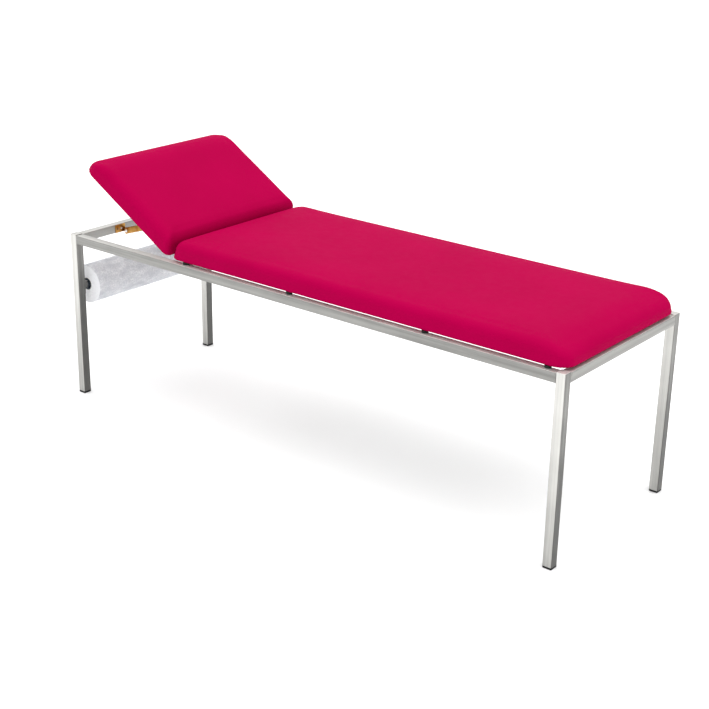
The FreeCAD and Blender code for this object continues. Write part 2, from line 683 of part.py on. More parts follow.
def pad_bracket(name):
    """A channel under the head board whose cheeks hold the strut's upper pin in a slot."""
    gap = size("cheek_gap")
    thick = size("cheek_thick")
    long = size("cheek_length")
    top = size("pad_bottom") - size("cloth_thick") - size("hinge_level")
    x = -size("strut_reach")
    pin_z = -size("strut_drop")
    base = box(name + "_base", long, size("foot_plate_width"), size("foot_plate_thick"), x - long / 2,
               -size("foot_plate_width") / 2, top - size("foot_plate_thick"))
    low = top - size("cheek_drop")
    rear, front = x - long / 2, x + long / 2
    cheek = [(rear, top - 1), (rear + 6, low), (front - 6, low), (front, top - 1)]
    cheeks = [flat_plate("%s_cheek_%d" % (name, i), cheek, thick, y)
              for i, y in enumerate((-gap / 2 - thick, gap / 2))]
    reach = size("slot_half_length")
    radius = "sizes.strut_pin_radius + sizes.slot_slack"
    ends = [bar_along("Y", "%s_slot_end_%d" % (name, i), radius, 4 * gap, x + i * reach, -2 * gap, pin_z)
            for i in (-1, 1)]
    middle = box(name + "_slot", 2 * reach, 4 * gap, "2 * (%s)" % radius, x - reach, -2 * gap,
                 "%g - (%s)" % (pin_z, radius))
    holes = [bar_along("Z", "%s_screw_hole_%d" % (name, i), "sizes.leaf_screw_radius", 20, x,
                       i * size("foot_plate_width") * 0.36, top - 10) for i in (-1, 1)]
    return cut(name, fuse(name + "_shape", base, *cheeks), *ends, middle, *holes)


def build_struts():
    low, length, _ = strut_line()
    half = size("channel_inner") / 2 + size("channel_wall")
    for side, out in (("left", -1), ("right", 1)):
        y = out * size("strut_y")
        place = strut_placement(y)
        upright = Placement(Vector(low.x, y, low.z), UPRIGHT)
        keep(rail_bracket(side + "_bracket", out), side + "_strut_rail_bracket", upright)
        lower_pin = cross_pin(side + "_lower_pin", "sizes.strut_pin_radius", half + 0.5, 0, 0)
        keep(lower_pin, side + "_strut_lower_pin", upright)
        keep(strut_channel(side + "_channel"), side + "_strut_channel", place)
        keep(strut_bar(side + "_bar", length), side + "_strut_bar", place)
        keep(pawl(side + "_pawl_lever"), side + "_pawl", place)
        keep(cross_pin(side + "_pawl_axle", "sizes.pawl_pin_radius", half + 0.2,
                       size("pawl_pivot"), size("pawl_level")), side + "_pawl_pin", place)
        upper_pin = cross_pin(side + "_upper_pin", "sizes.strut_pin_radius",
                              size("cheek_gap") / 2 + size("cheek_thick") + 1, length, 0)
        keep(upper_pin, side + "_strut_upper_pin", place)
        over_head = Placement(hinge_point() + Vector(0, y, 0), head_placement().Rotation)
        keep(pad_bracket(side + "_pad_bracket_shape"), side + "_strut_pad_bracket", over_head)


# ---------------------------------------------------------------- paper roll and its holder

def holder(name, side):
    """A plate on the leg's inner face with a cradle, open above, for the end of the rod."""
    inner = size("couch_width") / 2 - size("leg_side")
    wide = size("holder_width")
    plate_thick = size("holder_plate")
    depth = size("cradle_depth")
    bore = size("rod_radius") + size("cradle_slack")
    wall = size("cradle_wall")
    high = size("holder_high")
    plate_y = inner - plate_thick if side > 0 else -inner
    cradle_y = inner - depth if side > 0 else -inner
    plate = box(name + "_plate", wide, plate_thick, high, -wide / 2, plate_y, -high / 2)
    cradle = box(name + "_cradle", 2 * (bore + wall), depth, bore + wall + size("cradle_lip"),
                 -bore - wall, cradle_y, -bore - wall)
    slot = bar_along("Y", name + "_slot", bore, depth, 0, cradle_y, 0)
    mouth = box(name + "_mouth", 2 * bore, depth, high, -bore, cradle_y, 0)
    spacing = size("holder_screw_spacing")
    holes = [bar_along("Y", "%s_hole_%d" % (name, i), "sizes.leaf_screw_radius", 20, 0,
                       side * inner - 10, i * spacing / 2) for i in (-1, 1)]
    return cut(name, fuse(name + "_shape", plate, cradle), slot, mouth, *holes)


def end_plug(name, side, face):
    """A plug in the end of the core, recessed round a hub and a rib, that turns on the rod."""
    length = size("plug_length")
    radius = size("core_radius") - size("core_wall") - 0.1
    inward = -side
    start = face if inward > 0 else face - length
    plug = bar_along("Y", name + "_plug", radius, length, 0, start, 0)
    recess_depth = size("plug_recess")
    recess_start = face if inward > 0 else face - recess_depth
    ring = cut(name + "_recess",
               bar_along("Y", name + "_well", radius - size("plug_rim"), recess_depth, 0, recess_start, 0),
               bar_along("Y", name + "_hub", "sizes.plug_hub", recess_depth, 0, recess_start, 0),
               box(name + "_rib", "sizes.plug_rib", recess_depth, 2 * radius, "-sizes.plug_rib / 2",
                   recess_start, -radius))
    bore = bar_along("Y", name + "_bore", "sizes.rod_radius + sizes.pin_clearance", length, 0, start, 0)
    return cut(name, plug, ring, bore)


def build_paper_roll():
    axis_x = along(size("leg_side") / 2)
    axis = Placement(Vector(axis_x, 0, size("roll_level")), UPRIGHT)
    inner = size("couch_width") / 2 - size("leg_side")
    for side, name in ((-1, "left"), (1, "right")):
        keep(holder(name + "_roll_holder_shape", side), name + "_roll_holder", axis)

    rod_half = inner - size("rod_end_gap")
    rod = bar_along("Y", "roll_rod_bar", "sizes.rod_radius", 2 * rod_half, axis_x, -rod_half,
                    "sizes.roll_level")
    keep(rod, "roll_rod")

    start = -inner + size("roll_start")
    end = start + size("roll_length")
    keep(end_plug("left_plug", -1, start), "left_roll_plug", axis)
    keep(end_plug("right_plug", 1, end), "right_roll_plug", axis)
    length = size("roll_length")
    core = cut("core_tube", bar_along("Y", "core_outside", "sizes.core_radius", length, 0, start, 0),
               bar_along("Y", "core_inside", "sizes.core_radius - sizes.core_wall", length, 0, start, 0))
    keep(core, "roll_core", axis)
    paper = cut("paper_tube", bar_along("Y", "paper_outside", "sizes.roll_radius", length, 0, start, 0),
                bar_along("Y", "paper_inside", "sizes.core_radius", length, 0, start, 0))
    keep(paper, "paper_roll", axis)


# ---------------------------------------------------------------- build, check and write

def check(obj):
    bad = {"Invalid", "Error"} & set(obj.State)
    if bad:
        raise RuntimeError("%s failed: %s" % (obj.Label, sorted(bad)))


build_frame()
build_pads()
build_buffers()
build_rest_buffers()
build_hinges()
build_struts()
build_paper_roll()
build_screws()
doc.recompute()

for item in doc.Objects:
    check(item)
for subpart in SUBPARTS:
    if subpart.Shape.isNull() or not subpart.Shape.isValid() or not subpart.Shape.Solids:
        raise RuntimeError("%s has no valid solid" % subpart.Label)

os.makedirs("parts", exist_ok=True)
for subpart in SUBPARTS:
    subpart.Shape.exportStep("parts/%s.step" % subpart.Label)
print("%d sub-parts written" % len(SUBPARTS))
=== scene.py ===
import json
import math

import bmesh
import bpy
from mathutils import Matrix, Vector


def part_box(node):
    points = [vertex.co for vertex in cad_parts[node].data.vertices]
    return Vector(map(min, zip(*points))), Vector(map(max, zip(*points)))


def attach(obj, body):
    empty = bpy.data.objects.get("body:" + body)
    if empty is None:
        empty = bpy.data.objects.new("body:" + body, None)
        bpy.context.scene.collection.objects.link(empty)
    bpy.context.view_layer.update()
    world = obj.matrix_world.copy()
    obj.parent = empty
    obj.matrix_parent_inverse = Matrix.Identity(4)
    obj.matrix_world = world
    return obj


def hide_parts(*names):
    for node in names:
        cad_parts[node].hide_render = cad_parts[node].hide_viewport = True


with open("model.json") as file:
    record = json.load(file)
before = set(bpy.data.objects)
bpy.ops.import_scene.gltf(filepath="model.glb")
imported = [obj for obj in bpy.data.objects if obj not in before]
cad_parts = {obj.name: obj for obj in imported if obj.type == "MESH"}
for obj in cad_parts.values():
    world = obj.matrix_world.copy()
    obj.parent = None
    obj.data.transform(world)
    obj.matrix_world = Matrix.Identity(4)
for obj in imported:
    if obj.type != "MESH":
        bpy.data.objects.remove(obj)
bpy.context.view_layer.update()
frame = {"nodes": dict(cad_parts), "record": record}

# The looks of the couch. Its two pads are modelled here as soft cushions, and every other piece is
# the CAD node itself with a material made of shader nodes. Lengths are in metres.

MM = 0.001
NODES = frame["nodes"]
JOINTS = {joint["name"]: joint for joint in frame["record"]["behaviour"]["joints"]}
HINGE = Vector(JOINTS["head_hinge"]["pos_m"])
HEAD_ANGLE = -math.radians(JOINTS["head_hinge"]["range_deg"][0])
HEAD_PLACE = Matrix.Translation(HINGE) @ Matrix.Rotation(HEAD_ANGLE, 4, "Y")
BODY_PLACE = Matrix.Translation(HINGE)


# ---------------------------------------------------------------- shader helpers

# places of a colour mix node's sockets, whose names it uses several times over
MIX_FACTOR = 0
MIX_COLOURS = (6, 7)
MIX_RESULT = 2


class Nodes:
    """A node tree being built, with short ways to add nodes to it."""

    def __init__(self, tree):
        self.tree = tree

    def first(self, kind):
        return next(node for node in self.tree.nodes if node.type == kind)

    def add(self, kind, settings=None, **inputs):
        """Adds a node with its settings, and its inputs named with _ for a space."""
        node = self.tree.nodes.new(kind)
        for name, value in (settings or {}).items():
            setattr(node, name, value)
        for name, value in inputs.items():
            self.put(node.inputs[name.replace("_", " ")], value)
        return node

    def put(self, socket, value):
        """Links the socket to another, or gives it a plain value."""
        if isinstance(value, bpy.types.NodeSocket):
            self.tree.links.new(value, socket)
        else:
            socket.default_value = value

    def remap(self, value, to, of=(0.0, 1.0)):
        """Carries the range `of` over to the range `to`, and holds it at its ends."""
        node = self.add("ShaderNodeMapRange", Value=value, From_Min=of[0], From_Max=of[1],
                        To_Min=to[0], To_Max=to[1])
        return node.outputs[0]

    def maths(self, operation, first, second):
        node = self.add("ShaderNodeMath", {"operation": operation})
        self.put(node.inputs[0], first)
        self.put(node.inputs[1], second)
        return node.outputs[0]


class Shader(Nodes):
    """A material being built: its node tree, its main shader and its object coordinates."""

    def __init__(self, name, **settings):
        self.material = bpy.data.materials.new(name)
        self.material.use_nodes = True
        super().__init__(self.material.node_tree)
        self.main = self.first("BSDF_PRINCIPLED")
        self.coordinates = self.add("ShaderNodeTexCoord").outputs["Object"]
        for socket, value in settings.items():
            self.main.inputs[socket.replace("_", " ")].default_value = value

    def stretched(self, scale):
        """Object coordinates in metres, scaled per axis."""
        return self.add("ShaderNodeMapping", Vector=self.coordinates, Scale=scale).outputs[0]

    def brushed(self, axis, along, across):
        """Object coordinates scaled one way along an axis and another way across it."""
        return self.stretched([along if name == axis else across for name in "xyz"])

    def noise(self, vector=None, scale=1.0, detail=3.0, roughness=0.5):
        node = self.add("ShaderNodeTexNoise", Vector=vector or self.coordinates, Scale=scale,
                        Detail=detail, Roughness=roughness)
        return node.outputs["Fac"]

    def cells(self, scale, feature="F1"):
        node = self.add("ShaderNodeTexVoronoi", {"feature": feature}, Vector=self.coordinates,
                        Scale=scale)
        return node.outputs["Distance"]

    def blend(self, factor, first, second):
        """Mixes two colours, each given as three numbers or as a socket."""
        node = self.add("ShaderNodeMix", {"data_type": "RGBA"})
        self.put(node.inputs[MIX_FACTOR], factor)
        for place, colour in zip(MIX_COLOURS, (first, second)):
            made = isinstance(colour, bpy.types.NodeSocket)
            self.put(node.inputs[place], colour if made else (*colour, 1))
        return node.outputs[MIX_RESULT]

    def facing(self, axis):
        """How squarely the surface faces along one axis, either way, from 0 to 1."""
        normal = self.add("ShaderNodeTexCoord").outputs["Normal"]
        parts = self.add("ShaderNodeSeparateXYZ", Vector=normal)
        return self.maths("ABSOLUTE", parts.outputs[axis.upper()], 0.0)

    def colour(self, value):
        self.put(self.main.inputs["Base Color"], value)

    def roughness(self, value):
        self.put(self.main.inputs["Roughness"], value)

    def bump(self, height, distance, strength, onto=None):
        node = self.add("ShaderNodeBump", Height=height, Distance=distance, Strength=strength)
        if onto is not None:
            self.put(node.inputs["Normal"], onto)
        self.put(self.main.inputs["Normal"], node.outputs[0])
        return node.outputs[0]


# ---------------------------------------------------------------- materials

# the range that most values of a noise texture lie in
MOST_NOISE = (0.3, 0.7)

WARM_GREY = (1.0, 0.993, 0.95)

# For each direction of tube: the faces painted darker as painted shade (the others are painted lighter),
# the darkest grey and the brightest grey.
STEEL_PAINTED_FACE_SHADE = {"x": ("y", 0.22, 0.66), "y": ("x", 0.25, 0.66), "z": ("x", 0.10, 0.70)}

# Painted shade: legs are painted darker towards the floor. Two heights above it, and what is added to the
# tone there.
LEG_PAINTED_SHADE_HEIGHTS = (0.0, 0.48)
LEG_PAINTED_SHADE = (-0.38, 0.06)

LEATHERETTE_COLOURS = ((0.352, 0.0, 0.048), (0.383, 0.0, 0.054))
ZINC_COLOURS = ((0.60, 0.62, 0.66), (0.80, 0.81, 0.84))
GOLD_COLOURS = ((0.32, 0.14, 0.025), (0.52, 0.29, 0.08))
GOLD_DRIFT_COLOUR = (0.36, 0.17, 0.13)
# The tissue's bluish white, and the bluish grey of the painted shade in its hollows.
PAPER_WHITE_AND_HOLLOW_SHADE = ((0.48, 0.495, 0.54), (0.86, 0.865, 0.885))
CARDBOARD_COLOURS = ((0.60, 0.58, 0.54), (0.85, 0.84, 0.80))
PLYWOOD_COLOURS = ((0.50, 0.33, 0.18), (0.72, 0.54, 0.34))
FOAM_AND_PORE_SHADE_COLOURS = ((0.62, 0.56, 0.36), (0.86, 0.80, 0.58))
LINING_COLOURS = ((0.42, 0.42, 0.42), (0.66, 0.66, 0.655))
RUBBER_COLOURS = ((0.010, 0.010, 0.010), (0.028, 0.027, 0.026))
FOOT_COLOURS = ((0.008, 0.008, 0.009), (0.022, 0.022, 0.023))
PLUG_COLOURS = ((0.035, 0.045, 0.060), (0.070, 0.085, 0.105))
FLOOR_COLOURS = ((0.95, 0.95, 0.95), (0.97, 0.97, 0.97))


def steel_material(axis):
    """Satin square tube: brushed lengthways, with painted shade on one pair of faces, and legs painted
    darker near the floor as painted shade.
    """
    shaded_faces, dark, bright = STEEL_PAINTED_FACE_SHADE[axis]
    shader = Shader("satin_steel_" + axis, Metallic=0.6)
    lines = shader.noise(shader.brushed(axis, along=5.0, across=900.0), detail=4.0, roughness=0.6)
    bands = shader.noise(shader.brushed(axis, along=2.0, across=90.0), detail=2.0)
    patches = shader.noise(scale=9.0)
    # Painted shade by face direction: the shaded faces get the darker grey and the other faces the
    # lighter one.
    tone = shader.remap(shader.facing(shaded_faces), to=(0.85, 0.15), of=(0.3, 0.8))
    for part, spread, of in ((lines, 0.12, (0.25, 0.75)), (bands, 0.12, MOST_NOISE),
                             (patches, 0.06, MOST_NOISE)):
        tone = shader.maths("ADD", tone, shader.remap(part, to=(-spread, spread), of=of))
    if axis == "z":
        # Painted shade: the legs' tone falls towards the floor.
        height = shader.add("ShaderNodeSeparateXYZ", Vector=shader.coordinates).outputs["Z"]
        tone = shader.maths("ADD", tone, shader.remap(height, to=LEG_PAINTED_SHADE, of=LEG_PAINTED_SHADE_HEIGHTS))
    darkest, brightest = ([grey * part for part in WARM_GREY] for grey in (dark, bright))
    shader.colour(shader.blend(tone, darkest, brightest))
    wear = shader.maths("MULTIPLY", lines, patches)
    shader.roughness(shader.remap(wear, to=(0.36, 0.52), of=(0.1, 0.45)))
    shader.bump(lines, distance=0.2 * MM, strength=0.6)
    return shader.material


def leatherette_material():
    """Smooth coated fabric: a very fine pebble grain with almost no gloss and broad soft variation."""
    shader = Shader("raspberry_leatherette", Specular_IOR_Level=0.008)
    pebbles = shader.cells(850.0, "SMOOTH_F1")
    fine = shader.noise(scale=2600.0, detail=2.0)
    broad = shader.noise(scale=5.0)
    tone = shader.maths("ADD", shader.remap(broad, to=(0.0, 0.8), of=MOST_NOISE),
                        shader.remap(pebbles, to=(0.0, 0.2)))
    shader.colour(shader.blend(tone, *LEATHERETTE_COLOURS))
    shader.roughness(shader.remap(shader.noise(scale=45.0), to=(0.46, 0.54), of=MOST_NOISE))
    grain = shader.maths("ADD", pebbles, shader.remap(fine, to=(0.0, 0.4)))
    shader.bump(grain, distance=0.12 * MM, strength=0.55)
    return shader.material


def moulded_material(name, colours, roughness, pitch, depth):
    """Moulded plastic or rubber: a fine stipple under a dusty variation."""
    shader = Shader(name, Specular_IOR_Level=0.12)
    stipple = shader.noise(scale=pitch)
    dust = shader.noise(scale=60.0, detail=4.0)
    shader.colour(shader.blend(shader.remap(dust, to=(0.0, 1.0), of=(0.3, 0.75)), *colours))
    shader.roughness(shader.remap(dust, to=roughness, of=MOST_NOISE))
    shader.bump(stipple, distance=depth, strength=0.6)
    return shader.material


def zinc_material():
    """Bright zinc plate: small cloudy spangle and light scuffs."""
    shader = Shader("zinc_plate", Metallic=1.0)
    scuffs = shader.noise(shader.brushed("y", along=120, across=900))
    shader.colour(shader.blend(shader.cells(260.0), *ZINC_COLOURS))
    shader.roughness(shader.remap(scuffs, to=(0.24, 0.46), of=MOST_NOISE))
    shader.bump(scuffs, distance=0.08 * MM, strength=0.5)
    return shader.material


def chromate_material():
    """Yellow chromate over zinc: straw gold that drifts towards a pinkish brown."""
    shader = Shader("yellow_chromate", Metallic=1.0)
    drift = shader.noise(scale=55.0)
    film = shader.noise(shader.stretched((30, 90, 150)), detail=2.0)
    gold = shader.blend(shader.remap(drift, to=(0.0, 1.0), of=(0.35, 0.65)), *GOLD_COLOURS)
    tint = shader.remap(film, to=(0.0, 0.55), of=(0.5, 0.75))
    shader.colour(shader.blend(tint, gold, GOLD_DRIFT_COLOUR))
    shader.roughness(shader.remap(drift, to=(0.26, 0.46), of=MOST_NOISE))
    shader.bump(shader.noise(scale=1500.0, detail=2.0), distance=0.06 * MM, strength=0.6)
    return shader.material


def paper_material():
    """Embossed tissue: pressed dimples over a crinkled bluish white, with painted shade in the hollows of
    the dimples and crinkles, and fine rings on the wound ends.
    """
    shader = Shader("embossed_tissue", Roughness=0.85)
    dimples = shader.cells(210.0, "SMOOTH_F1")
    crinkle = shader.noise(shader.brushed("y", along=18, across=45), detail=5.0, roughness=0.6)
    # Painted shade: darker in the dimples' hollows and the crinkles' folds, where the bumps below sink.
    tone = shader.maths("MULTIPLY", shader.remap(dimples, to=(0.2, 1.0), of=(0.0, 0.7)),
                        shader.remap(crinkle, to=(0.2, 1.0), of=MOST_NOISE))
    roll_x, _, roll_z = JOINTS["roll_spin"]["pos_m"]
    centred = shader.add("ShaderNodeMapping", Vector=shader.coordinates, Location=(-roll_x, 0, -roll_z))
    rings = shader.add("ShaderNodeTexWave", {"wave_type": "RINGS", "rings_direction": "Y"},
                       Vector=centred.outputs[0], Scale=220.0, Distortion=1.2, Detail=2.0)
    wound_end = shader.remap(shader.facing("y"), to=(0.0, 1.0), of=(0.6, 0.9))
    ringed = shader.maths("MULTIPLY", wound_end, shader.remap(rings.outputs["Fac"], to=(0.75, 1.0)))
    shader.colour(shader.blend(shader.maths("MAXIMUM", tone, ringed), *PAPER_WHITE_AND_HOLLOW_SHADE))
    pressed = shader.bump(dimples, distance=3 * MM, strength=0.8)
    shader.bump(crinkle, distance=6 * MM, strength=0.6, onto=pressed)
    return shader.material


def cardboard_material():
    """Wound board of the roll's core: short fibres in two pale tones."""
    shader = Shader("pale_core_board", Roughness=0.88)
    fibres = shader.noise(shader.brushed("y", along=900, across=250), detail=5.0, roughness=0.65)
    shader.colour(shader.blend(shader.remap(fibres, to=(0.0, 1.0), of=MOST_NOISE), *CARDBOARD_COLOURS))
    shader.bump(fibres, distance=0.2 * MM, strength=0.5)
    return shader.material


def plywood_material():
    """Birch plywood: long grain on the faces and dark and light plies on the edges."""
    shader = Shader("birch_plywood", Roughness=0.62)
    grain = shader.noise(shader.stretched((6, 110, 700)), detail=5.0, roughness=0.6)
    shader.colour(shader.blend(shader.remap(grain, to=(0.0, 1.0), of=MOST_NOISE), *PLYWOOD_COLOURS))
    shader.bump(grain, distance=0.2 * MM, strength=0.4)
    return shader.material


def foam_material():
    """Cut polyurethane foam: open cells, with painted shade in their hollows."""
    shader = Shader("cut_foam", Roughness=0.95)
    pores = shader.cells(900.0)
    # Painted shade: each cell is darker towards its hollow middle.
    shader.colour(shader.blend(pores, *FOAM_AND_PORE_SHADE_COLOURS))
    shader.bump(pores, distance=0.6 * MM, strength=0.7)
    return shader.material


def lining_material():
    """Pale grey non-woven lining: pressed dots over a felted ground."""
    shader = Shader("pale_lining", Roughness=0.92, Sheen_Weight=0.15)
    dots = shader.cells(420.0)
    felt = shader.noise(scale=1600.0)
    tone = shader.maths("MULTIPLY", shader.remap(dots, to=(0.3, 1.0), of=(0.0, 0.6)), felt)
    shader.colour(shader.blend(tone, *LINING_COLOURS))
    shader.bump(dots, distance=0.4 * MM, strength=0.6)
    return shader.material


def floor_material():
    """Near-white floor with a faint mottle."""
    shader = Shader("pale_floor", Roughness=0.9)
    shader.colour(shader.blend(shader.noise(scale=1.5, detail=2.0), *FLOOR_COLOURS))
    return shader.material


ZINC = zinc_material()
LEATHERETTE = leatherette_material()
BY_SLOT = {
    "leatherette": LEATHERETTE,
    "zinc_steel": ZINC,
    "strut_zinc": ZINC,
    "strut_gold": chromate_material(),
    "paper": paper_material(),
    "cardboard": cardboard_material(),
    "plywood": plywood_material(),
    "foam": foam_material(),
    "underside_cloth": lining_material(),
    "buffer_rubber": moulded_material("black_rubber", RUBBER_COLOURS, roughness=(0.55, 0.8),
                                      pitch=700.0, depth=0.15 * MM),
    "foot_plastic": moulded_material("black_plastic", FOOT_COLOURS, roughness=(0.35, 0.6),
                                     pitch=1200.0, depth=0.1 * MM),
    "plug_plastic": moulded_material("slate_plastic", PLUG_COLOURS, roughness=(0.35, 0.55),
                                     pitch=1000.0, depth=0.1 * MM),
}
STEEL = {axis: steel_material(axis) for axis in STEEL_PAINTED_FACE_SHADE}


def tube_direction(node):
    """The axis that a tube of the frame runs along."""
    if node.endswith("side_rail"):
        return "x"
    if node.endswith("end_rail") or node == "cross_rail":
        return "y"
    return "z"


def dress_cad_nodes():
    """Give every carried-over CAD node the material of its slot."""
    for row in frame["record"]["subparts"]:
        node, slot = row["node"], row["material_slot"]
        material = STEEL[tube_direction(node)] if slot == "frame_steel" else BY_SLOT[slot]
        for holder in NODES[node].material_slots:
            holder.material = material


# ---------------------------------------------------------------- mesh helpers

MERGE_DISTANCE = 1e-6


def mesh_from(name, points, faces):
    mesh = bpy.data.meshes.new(name)
    mesh.from_pydata(points, [], faces)
    mesh.update()
    return mesh


def linked(name, data):
    """A new object in the scene that shows the given mesh, light or camera."""
    piece = bpy.data.objects.new(name, data)
    bpy.context.scene.collection.objects.link(piece)
    return piece


def outward(mesh):
    """Joins points that coincide and makes every face of a closed mesh point outward."""
    built = bmesh.new()
    built.from_mesh(mesh)
    bmesh.ops.remove_doubles(built, verts=built.verts, dist=MERGE_DISTANCE)
    bmesh.ops.recalc_face_normals(built, faces=built.faces)
    built.to_mesh(mesh)
    built.free()


# ---------------------------------------------------------------- cushions

# how far the form stays back from the hinge line, and from the CAD cover's sides, top and far end
SPLIT_GAP = 1.2 * MM
SHRINK = 1.2 * MM

# how far the head pad reaches past the middle of its rest buffers
PAST_REST_BUFFERS = 17 * MM

# the form before it is blown out
TOP_ROUND = 28 * MM
LOW_ROUND = 7 * MM
FAR_CORNER = 50 * MM
HEAD_SPLIT_CORNER = 22 * MM
SPLIT_LEAN = math.tan(math.radians(18))
LEAN_REACH = 90 * MM
END_REACH = 100 * MM
END_DROP = 26 * MM

# the grid it is made of
CURVED_BAND = 56 * MM
BAND_STEPS = 10
MIDDLE_STEP = 15 * MM
HEIGHT_STEPS = 12

# the cloth simulation and what is kept of it
CLOTH_FRAMES = 20
PRESSURE = 4.0
STRETCH_STIFFNESS = 30.0
BEND_STIFFNESS = 2.0
STAPLED_SHARE = 0.02
HELD_SHARE = 0.45
SWELL_CAP = 4.5 * MM
EVENING_ROUNDS = 14

# the folds low on the far corners
GATHER_HEIGHT = 26 * MM
GATHER_DEPTH = 0.9 * MM
GATHER_COUNT = 26


def stations(length):
    """Places along one side of a cushion: close together in the rounded bands, even between."""
    near = [CURVED_BAND * i / BAND_STEPS for i in range(BAND_STEPS)]
    middle = length - 2 * CURVED_BAND
    count = max(2, round(middle / MIDDLE_STEP))
    inside = [CURVED_BAND + middle * i / count for i in range(count + 1)]
    return near + inside + [length - place for place in reversed(near)]


def square_to_round(a, b):
    """Bends a square corner into a quarter circle."""
    longest = max(abs(a), abs(b))
    away = math.hypot(a, b)
    return (a * longest / away, b * longest / away) if away > 0 else (a, b)


def round_edge(point, length, width, high):
    """Rolls the top and bottom edges of a block over."""
    x, y, z = point
    upper = z > high / 2
    radius = TOP_ROUND if upper else LOW_ROUND
    core_x = min(max(x, radius), length - radius)
    core_y = min(max(y, radius - width / 2), width / 2 - radius)
    core_z = high - radius if upper else radius
    across = max(abs(x - core_x), abs(y - core_y))
    rise = z - core_z if upper else core_z - z
    if across > 0 and rise > 0:
        new_across, new_rise = square_to_round(across, rise)
        x = core_x + (x - core_x) * new_across / across
        y = core_y + (y - core_y) * new_across / across
        z = core_z + new_rise if upper else core_z - new_rise
    return x, y, z


def round_corner(point, length, width, split_corner):
    """Rounds the corners seen from above: one radius at the split and another at the far end."""
    x, y, z = point
    corner = split_corner if x < length / 2 else FAR_CORNER
    core_x = corner if x < length / 2 else length - corner
    core_y = math.copysign(width / 2 - corner, y)
    beyond_x = x < core_x if x < length / 2 else x > core_x
    if beyond_x and abs(y) > abs(core_y):
        out_x, out_y = square_to_round(x - core_x, y - core_y)
        x, y = core_x + out_x, core_y + out_y
    return x, y, z


def lean_and_roll_off(point, length, high):
    """Leans the split end back and lets the top roll down towards the far end."""
    x, y, z = point
    x += SPLIT_LEAN * z * max(0.0, 1 - x / LEAN_REACH)
    towards_end = max(0.0, (x - length + END_REACH) / END_REACH)
    z *= 1 - END_DROP / high * towards_end ** 2
    return x, y, z


def box_surface(xs, ys, zs):
    """Grid points and faces of a box's whole surface, with shared edges."""
    index = {}
    points = []
    last = (len(xs) - 1, len(ys) - 1, len(zs) - 1)

    def corner(place):
        if place not in index:
            index[place] = len(points)
            points.append((xs[place[0]], ys[place[1]], zs[place[2]]))
        return index[place]

    faces = []
    for fixed, first, second in ((2, 0, 1), (1, 0, 2), (0, 1, 2)):
        for level in (0, last[fixed]):
            for i in range(last[first]):
                for j in range(last[second]):
                    loop = []
                    for di, dj in ((0, 0), (1, 0), (1, 1), (0, 1)):
                        place = [level, level, level]
                        place[first], place[second] = i + di, j + dj
                        loop.append(corner(tuple(place)))
                    faces.append(loop)
    return points, faces


def cushion_mesh(name, length, width, high, split_corner):
    """A closed pad lying from x = 0 at the split to x = length at its far end."""
    xs = stations(length)
    ys = [place - width / 2 for place in stations(width)]
    zs = [high * i / HEIGHT_STEPS for i in range(HEIGHT_STEPS + 1)]
    points, faces = box_surface(xs, ys, zs)
    soft = []
    for point in points:
        point = round_edge(point, length, width, high)
        point = round_corner(point, length, width, split_corner)
        soft.append(lean_and_roll_off(point, length, high))
    mesh = mesh_from(name, soft, faces)
    outward(mesh)
    return mesh


def simulated(piece, high):
    """Where the cover's points go when it is blown out as cloth with its base stapled down."""
    base = piece.vertex_groups.new(name="stapled")
    low = [vertex.index for vertex in piece.data.vertices if vertex.co.z < high * STAPLED_SHARE]
    base.add(low, 1.0, "REPLACE")
    cloth = piece.modifiers.new("cloth", "CLOTH")
    settings = cloth.settings
    settings.vertex_group_mass = base.name
    settings.use_pressure = True
    settings.uniform_pressure_force = PRESSURE
    settings.effector_weights.gravity = 0.0
    settings.tension_stiffness = STRETCH_STIFFNESS
    settings.compression_stiffness = STRETCH_STIFFNESS
    settings.bending_stiffness = BEND_STIFFNESS
    cloth.point_cache.frame_start = 1
    cloth.point_cache.frame_end = CLOTH_FRAMES
    for number in range(1, CLOTH_FRAMES + 1):
        bpy.context.scene.frame_set(number)
    depsgraph = bpy.context.evaluated_depsgraph_get()
    blown = [vertex.co.copy() for vertex in piece.evaluated_get(depsgraph).data.vertices]
    piece.modifiers.remove(cloth)
    piece.vertex_groups.remove(base)
    return blown


def evened(mesh, moves):
    """Each point's move averaged with its neighbours' several times over, so that no kink is left."""
    neighbours = [[] for _ in moves]
    for edge in mesh.edges:
        first, second = edge.vertices
        neighbours[first].append(second)
        neighbours[second].append(first)
    for _ in range(EVENING_ROUNDS):
        moves = [(moves[i] + sum((moves[j] for j in near), Vector()) / len(near)) / 2
                 for i, near in enumerate(neighbours)]
    return moves


def inflate(piece, high):
    """Swells the cover by its simulated moves, held back near the base, capped and evened."""
    start = [vertex.co.copy() for vertex in piece.data.vertices]
    moves = []
    for was, now in zip(start, simulated(piece, high)):
        move = (now - was) * min(1.0, (was.z / high / HELD_SHARE) ** 2)
        if move.length > SWELL_CAP:
            move *= SWELL_CAP / move.length
        moves.append(move)
    for vertex, was, move in zip(piece.data.vertices, start, evened(piece.data, moves)):
        vertex.co = was + move
    bpy.context.scene.frame_set(1)


def subdivide(piece):
    """Replaces the piece's mesh by itself subdivided once."""
    divide = piece.modifiers.new("subdivide", "SUBSURF")
    divide.levels = 1
    divide.render_levels = 1
    depsgraph = bpy.context.evaluated_depsgraph_get()
    smooth = bpy.data.meshes.new_from_object(piece.evaluated_get(depsgraph))
    piece.modifiers.clear()
    piece.data = smooth


